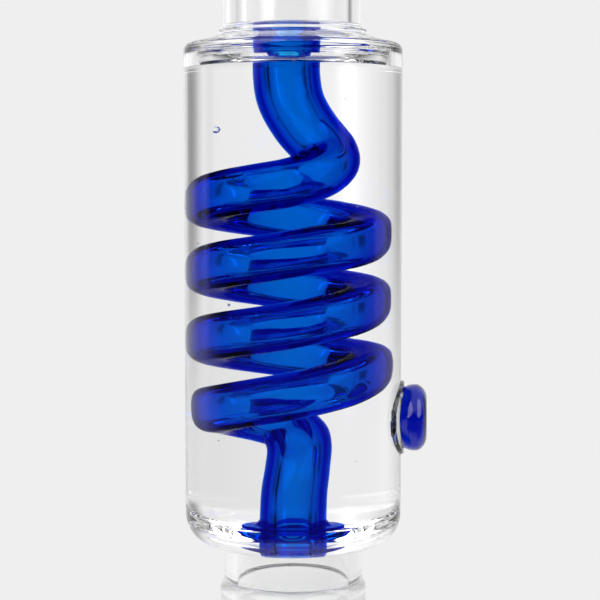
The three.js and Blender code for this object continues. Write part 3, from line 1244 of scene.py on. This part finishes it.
@dataclass
class Coolant:
    """The clear liquid round the coil, with its level under the shoulder."""

    film: float = 0.03 * MM
    meniscus: float = 1.9 * MM
    # Bubbles that never rose: where they stand off the glass axis, and their size.
    bubbles: tuple[tuple[float, float, float, float], ...] = (
        (-12.5, -0.6, 139.7, 0.82), (-15.6, 1.0, 113.9, 0.24), (-10.8, -3.0, 100.2, 0.3),
        (8.6, -2.0, 146.5, 0.2), (-13.4, -6.0, 69.5, 0.16), (11.5, -7.0, 122.4, 0.14),
        (-16.0, -4.0, 128.0, 0.12), (9.0, 6.0, 63.5, 0.15),
    )

    def build(self, chamber: Chamber, coil: Coil) -> None:
        """Makes the liquid and joins it to the frame.

        Args:
            chamber: The chamber that holds it.
            coil: The coil that stands in it.
        """
        wall_r = chamber.bore_r - self.film
        floor = chamber.floor + self.film
        ease = chamber.low - chamber.floor
        level = chamber.level
        corners = [
            Corner(0, floor),
            Corner(wall_r, floor, ease),
            *self._climb(wall_r, level),
            Corner(0, level),
        ]
        liquid = turned("coolant_liquid", corners, steps=192)
        sleeve_r = coil.tube_r + self.film
        for axis, low, high in (
            (chamber.lead_axis, level - 2 * MM, level + 3 * MM),
            (Vector((AXIS_X, 0, 0)), floor - 3 * MM, floor + 3 * MM),
        ):
            carve(liquid, bar("sleeve", sleeve_r, low, high, axis=axis))
        self._leave_bubbles(liquid)

        def rule(place: Vector, normal: Vector) -> Finish:
            """Picks the free surface on top and in bubbles, and bare contact elsewhere."""
            from_axis = radius_at(place)
            open_top = place.z > level - 0.01 * MM and from_axis < wall_r - 0.001 * MM
            beside_lead = math.hypot(place.x - chamber.lead_axis.x, place.y) < sleeve_r + 0.01 * MM
            bubble = level - 1 * MM > place.z > floor + 4 * MM and sleeve_r < from_axis < wall_r - 1 * MM
            return Finish.LEVEL if (open_top and not beside_lead) or bubble else Finish.COOLANT_EDGE

        dress(liquid, rule)
        hand_over(liquid, "coolant")

    def _climb(self, wall_r: float, level: float, steps: int = 9) -> Iterator[Corner]:
        """Gives the curve by which the liquid climbs the wall.

        Args:
            wall_r: The wall's radius.
            level: The level away from the wall.
            steps: How many steps the curve has.

        Yields:
            The curve's points, from the wall inwards.
        """
        for step in range(steps + 1):
            turn = math.pi / 2 * (1 - step / steps)
            inset = self.meniscus * (1 - math.sin(turn))
            yield Corner(wall_r - inset, level + self.meniscus * (1 - math.cos(turn)))

    def _leave_bubbles(self, liquid: bpy.types.Object) -> None:
        """Joins the bubbles to the liquid as hollows in it.

        Args:
            liquid: The liquid.
        """
        for x, y, z, r in self.bubbles:
            deselect()
            bpy.ops.mesh.primitive_uv_sphere_add(
                segments=40, ring_count=24, radius=r * MM, location=(AXIS_X + x * MM, y * MM, z * MM)
            )
            bubble = bpy.context.object
            bpy.ops.object.transform_apply(location=True, rotation=True, scale=True)
            bpy.ops.object.mode_set(mode="EDIT")
            bpy.ops.mesh.select_all(action="SELECT")
            bpy.ops.mesh.flip_normals()
            bpy.ops.object.mode_set(mode="OBJECT")
            bubble.select_set(True)
            liquid.select_set(True)
            bpy.context.view_layer.objects.active = liquid
            bpy.ops.object.join()


# ---------------------------------------------------------------------- studio


@dataclass(frozen=True)
class Softbox:
    """A round softbox, seen from the object.

    Args:
        azimuth: Degrees round from the camera, positive to its right.
        height: Degrees above the horizon.
        spread: Degrees from its middle to its edge.
        edge: Degrees over which its edge fades, on each side.
        light: Its brightness.
    """

    azimuth: float
    height: float
    spread: float
    edge: float
    light: float

    def direction(self) -> Vector:
        """Returns the way to its middle."""
        a, e = math.radians(self.azimuth), math.radians(self.height)
        return Vector((math.sin(a) * math.cos(e), -math.cos(a) * math.cos(e), math.sin(e)))


@dataclass
class Studio:
    """A pale table in a white room, with two round softboxes, and the camera.

    The walls are ramps of brightness, each stop in degrees to the right of the
    middle of the backdrop. Glass shows the sides of the room in its edges.
    """

    backdrop: str = "#EFEFEF"
    table_colour: str = "#D2D2D2"
    table_r: float = 110 * MM
    table_fade: tuple[float, float] = (30 * MM, 105 * MM)  # it fades out between these radii
    distance: float = 385 * MM
    elevation: float = 4.2
    aim_off_axis: float = 1.6 * MM
    aim_height: float = 100.7 * MM
    lens: float = 100.0
    ceiling: float = 0.8
    fill: float = 0.86  # the front of the room, as light that has not been reflected sees it
    softboxes: tuple[Softbox, ...] = (Softbox(56, 31, 28, 3, 2.8), Softbox(-42, 33, 28, 3, 2.6))
    low_walls: tuple[tuple[float, float], ...] = (
        (-180, 0.05), (-100, 0.1), (-84, 0.5), (-72, 0.9), (-62, 0.88), (-45, 0.94), (-34, 0.9),
        (0, 0.88), (12, 0.82), (34, 0.79), (52, 0.77), (66, 0.88), (80, 0.6), (100, 0.1), (180, 0.05),
    )
    high_walls: tuple[tuple[float, float], ...] = (
        (-180, 0.0), (-84, 0.02), (-76, 0.62), (-66, 0.36), (-60, 0.44), (-52, 0.77), (-38, 0.82),
        (-33, 0.9), (-25, 1.0), (-21.5, 1.08), (-20.3, 1.6), (-18.4, 1.6), (-17.2, 1.06), (-13, 0.95),
        (0, 0.9), (30, 0.9), (33, 0.82), (36, 0.84), (39, 0.89), (44, 0.7), (48, 0.44), (54, 0.24),
        (61, 0.3), (67, 0.8), (82, 0.55), (88, 0.04), (180, 0.0),
    )
    # Where one part of the room gives way to the next, as a share of straight up
    # or, for the front, of straight towards the backdrop.
    low_to_high: tuple[float, float] = (-0.16, 0.0)
    high_to_ceiling: tuple[float, float] = (0.25, 0.6)
    back_to_front: tuple[float, float] = (0.13, 0.0)

    def build(self) -> None:
        """Makes the room with its lights, the table and the camera."""
        self._room()
        self._table()
        self._camera()
        scene = bpy.context.scene
        scene.view_settings.view_transform = "Standard"
        scene.cycles.max_bounces = 48
        scene.cycles.transmission_bounces = 48
        scene.cycles.glossy_bounces = 16
        scene.cycles.transparent_max_bounces = 64

    def _room(self) -> None:
        """Makes the room: the backdrop behind, dimmer sides, and light from above.

        Light that the glass has reflected finds the front of the room dark, which
        keeps a white veil off the coil. Light that only went through finds it lit,
        so the glass is clear from behind too.
        """
        world = bpy.data.worlds.new("room")
        bpy.context.scene.world = world
        tree = Tree(world)
        place = tree.add("ShaderNodeTexCoord")
        way = tree.add("ShaderNodeSeparateXYZ", in_0=place.outputs["Generated"]).outputs
        angle = tree.add("ShaderNodeMath", {"operation": "ARCTAN2"}, in_0=way[0], in_1=way[1])
        turn = tree.add("ShaderNodeMapRange", value=angle.outputs[0], from_min=-math.pi, from_max=math.pi)
        low = self._walls(tree, turn.outputs[0], self.low_walls)
        high = self._walls(tree, turn.outputs[0], self.high_walls)
        number = {"data_type": "FLOAT"}
        rise = self._change(tree, way[2], self.low_to_high)
        walls = tree.add("ShaderNodeMix", number, in_0=rise, in_2=low, in_3=high)
        seen = tree.add("ShaderNodeLightPath").outputs
        front = tree.add(
            "ShaderNodeMapRange", value=way[1],
            from_min=self.back_to_front[0], from_max=self.back_to_front[1], to_max=self.fill,
        )
        direct = tree.add("ShaderNodeMath", {"operation": "LESS_THAN"}, in_0=seen["Glossy Depth"], in_1=0.5)
        times, greater = {"operation": "MULTIPLY"}, {"operation": "MAXIMUM"}
        fill = tree.add("ShaderNodeMath", times, in_0=front.outputs[0], in_1=direct.outputs[0])
        sides = tree.add("ShaderNodeMath", greater, in_0=walls.outputs[0], in_1=fill.outputs[0])
        up = self._change(tree, way[2], self.high_to_ceiling)
        room = tree.add("ShaderNodeMix", number, in_0=up, in_2=sides.outputs[0], in_3=self.ceiling)
        light = room.outputs[0]
        for box in self.softboxes:
            light = self._softbox(tree, place.outputs["Generated"], box, light)
        plain = tree.add("ShaderNodeBackground", color=to_linear(self.backdrop), strength=1.0)
        lit = tree.add("ShaderNodeBackground", color=(1, 1, 1, 1), strength=light)
        shown = tree.add(
            "ShaderNodeMixShader", in_0=seen["Is Camera Ray"], in_1=lit.outputs[0], in_2=plain.outputs[0]
        )
        tree.add("ShaderNodeOutputWorld", surface=shown.outputs[0])

    @staticmethod
    def _change(
        tree: Tree, height: bpy.types.NodeSocket, span: tuple[float, float]
    ) -> bpy.types.NodeSocket:
        """Adds a soft change from 0 to 1 over a span of heights.

        Args:
            tree: The world's tree.
            height: How steeply a direction points up.
            span: Where the change starts and ends.

        Returns:
            The change.
        """
        soft = {"interpolation_type": "SMOOTHSTEP"}
        change = tree.add("ShaderNodeMapRange", soft, value=height, from_min=span[0], from_max=span[1])
        return change.outputs[0]

    @staticmethod
    def _walls(
        tree: Tree, turn: bpy.types.NodeSocket, stops: tuple[tuple[float, float], ...]
    ) -> bpy.types.NodeSocket:
        """Adds the brightness of the walls all round the object.

        Args:
            tree: The world's tree.
            turn: Where a direction points, 0 to 1 once round, 0.5 at the backdrop.
            stops: Degrees to the right of the backdrop, each with its brightness.

        Returns:
            The brightness.
        """
        ramp = tree.add("ShaderNodeValToRGB", fac=turn)
        elements = ramp.color_ramp.elements
        while len(elements) < len(stops):
            elements.new(0.5)
        for element, (degrees, light) in zip(elements, stops):
            element.position = 0.5 + degrees / 360
            element.color = (*[light / BRIGHTEST] * 3, 1)
        scaled = tree.add("ShaderNodeMath", {"operation": "MULTIPLY"}, in_0=ramp.outputs[0], in_1=BRIGHTEST)
        return scaled.outputs[0]

    @staticmethod
    def _softbox(
        tree: Tree, way: bpy.types.NodeSocket, box: Softbox, light: bpy.types.NodeSocket
    ) -> bpy.types.NodeSocket:
        """Adds a round softbox to the room's light.

        Args:
            tree: The world's tree.
            way: The direction looked at.
            box: The softbox.
            light: The light without it.

        Returns:
            The light with it.
        """
        near = tree.add("ShaderNodeVectorMath", {"operation": "DOT_PRODUCT"}, in_0=way, in_1=box.direction())
        glow = tree.add(
            "ShaderNodeMapRange",
            {"interpolation_type": "SMOOTHSTEP"},
            value=near.outputs["Value"],
            from_min=math.cos(math.radians(box.spread + box.edge)),
            from_max=math.cos(math.radians(box.spread - box.edge)),
            to_max=box.light,
        )
        return tree.add("ShaderNodeMath", {"operation": "ADD"}, in_0=light, in_1=glow.outputs[0]).outputs[0]

    def _table(self) -> None:
        """Makes the pale table top, which fades into the backdrop at its edge."""
        deselect()
        bpy.ops.mesh.primitive_circle_add(
            vertices=96, radius=self.table_r, fill_type="NGON", location=(0, 0, -0.2 * MM)
        )
        table = bpy.context.object
        table.name = "table_top"
        made = bpy.data.materials.new("table_pale_laminate")
        tree = Tree(made)
        place = tree.add("ShaderNodeTexCoord")
        reach = tree.add("ShaderNodeVectorMath", {"operation": "LENGTH"}, in_0=place.outputs["Object"])
        fade = tree.add(
            "ShaderNodeMapRange",
            {"interpolation_type": "SMOOTHSTEP"},
            value=reach.outputs["Value"],
            from_min=self.table_fade[0],
            from_max=self.table_fade[1],
        )
        top = tree.add("ShaderNodeBsdfDiffuse", color=to_linear(self.table_colour))
        gone = tree.add("ShaderNodeBsdfTransparent")
        shown = tree.add(
            "ShaderNodeMixShader", in_0=fade.outputs[0], in_1=top.outputs[0], in_2=gone.outputs[0]
        )
        tree.add("ShaderNodeOutputMaterial", surface=shown.outputs[0])
        table.data.materials.append(made)

    def _camera(self) -> None:
        """Sets the camera, a little above the middle of the chamber."""
        data = bpy.data.cameras.new("camera")
        data.lens = self.lens
        camera = bpy.data.objects.new("camera", data)
        bpy.context.collection.objects.link(camera)
        e = math.radians(self.elevation)
        back = Vector((0, -math.cos(e), math.sin(e)))
        aim = Vector((AXIS_X + self.aim_off_axis, 0, self.aim_height))
        camera.location = aim + back * self.distance
        camera.rotation_euler = (-back).to_track_quat("-Z", "Y").to_euler()
        data.clip_start = 0.01
        bpy.context.scene.camera = camera


def main() -> None:
    """Builds the chamber piece by piece and sets the studio round it."""
    logging.basicConfig(level=logging.INFO, format="%(message)s")
    Studio().build()
    port = FillingPort()
    port.build()
    chamber = Chamber()
    chamber.build(port)
    port.dress()
    Necks().build()
    coil = Coil()
    coil.build(chamber)
    Coolant().build(chamber, coil)


if __name__ == "__main__":
    main()
